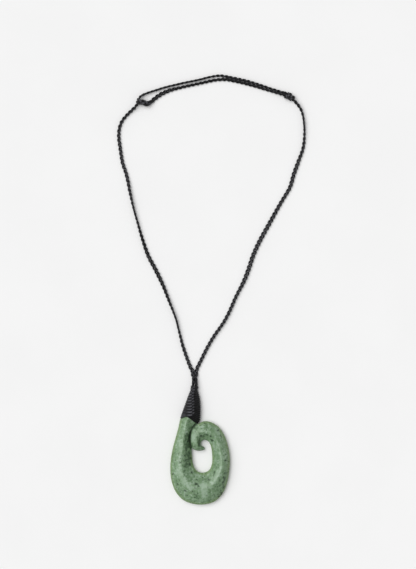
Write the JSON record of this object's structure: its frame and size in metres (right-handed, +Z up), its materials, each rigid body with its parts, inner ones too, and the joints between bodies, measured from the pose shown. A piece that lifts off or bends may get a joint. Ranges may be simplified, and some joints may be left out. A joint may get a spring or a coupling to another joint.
{
  "type": "pendant necklace",
  "caption": "Carved greenstone fish-hook pendant whose point curls back to the shank, bound in black thread to a plaited black neck cord with sliding knots.",
  "frame": {"origin": "On the table, under the middle of the box round the hook, its lashing and the neck. The pendant lies flat with its carved face up.", "axes": "+X to the right seen from above, +Y from the bowl of the hook up to the neck of the necklace, +Z up from the table"},
  "size_m": [0.1225, 0.2794, 0.008],
  "materials": {
    "greenstone": "satin polish",
    "black_thread": "waxed thread",
    "black_cord": "plaited cord"
  },
  "bodies": {
    "root": {"hook_stone": "greenstone", "lashing": "black_thread", "neck_plait": "black_cord", "cord_left": "black_cord", "cord_right": "black_cord", "knot_left": "black_cord", "knot_right": "black_cord"}
  },
  "joints": []
}
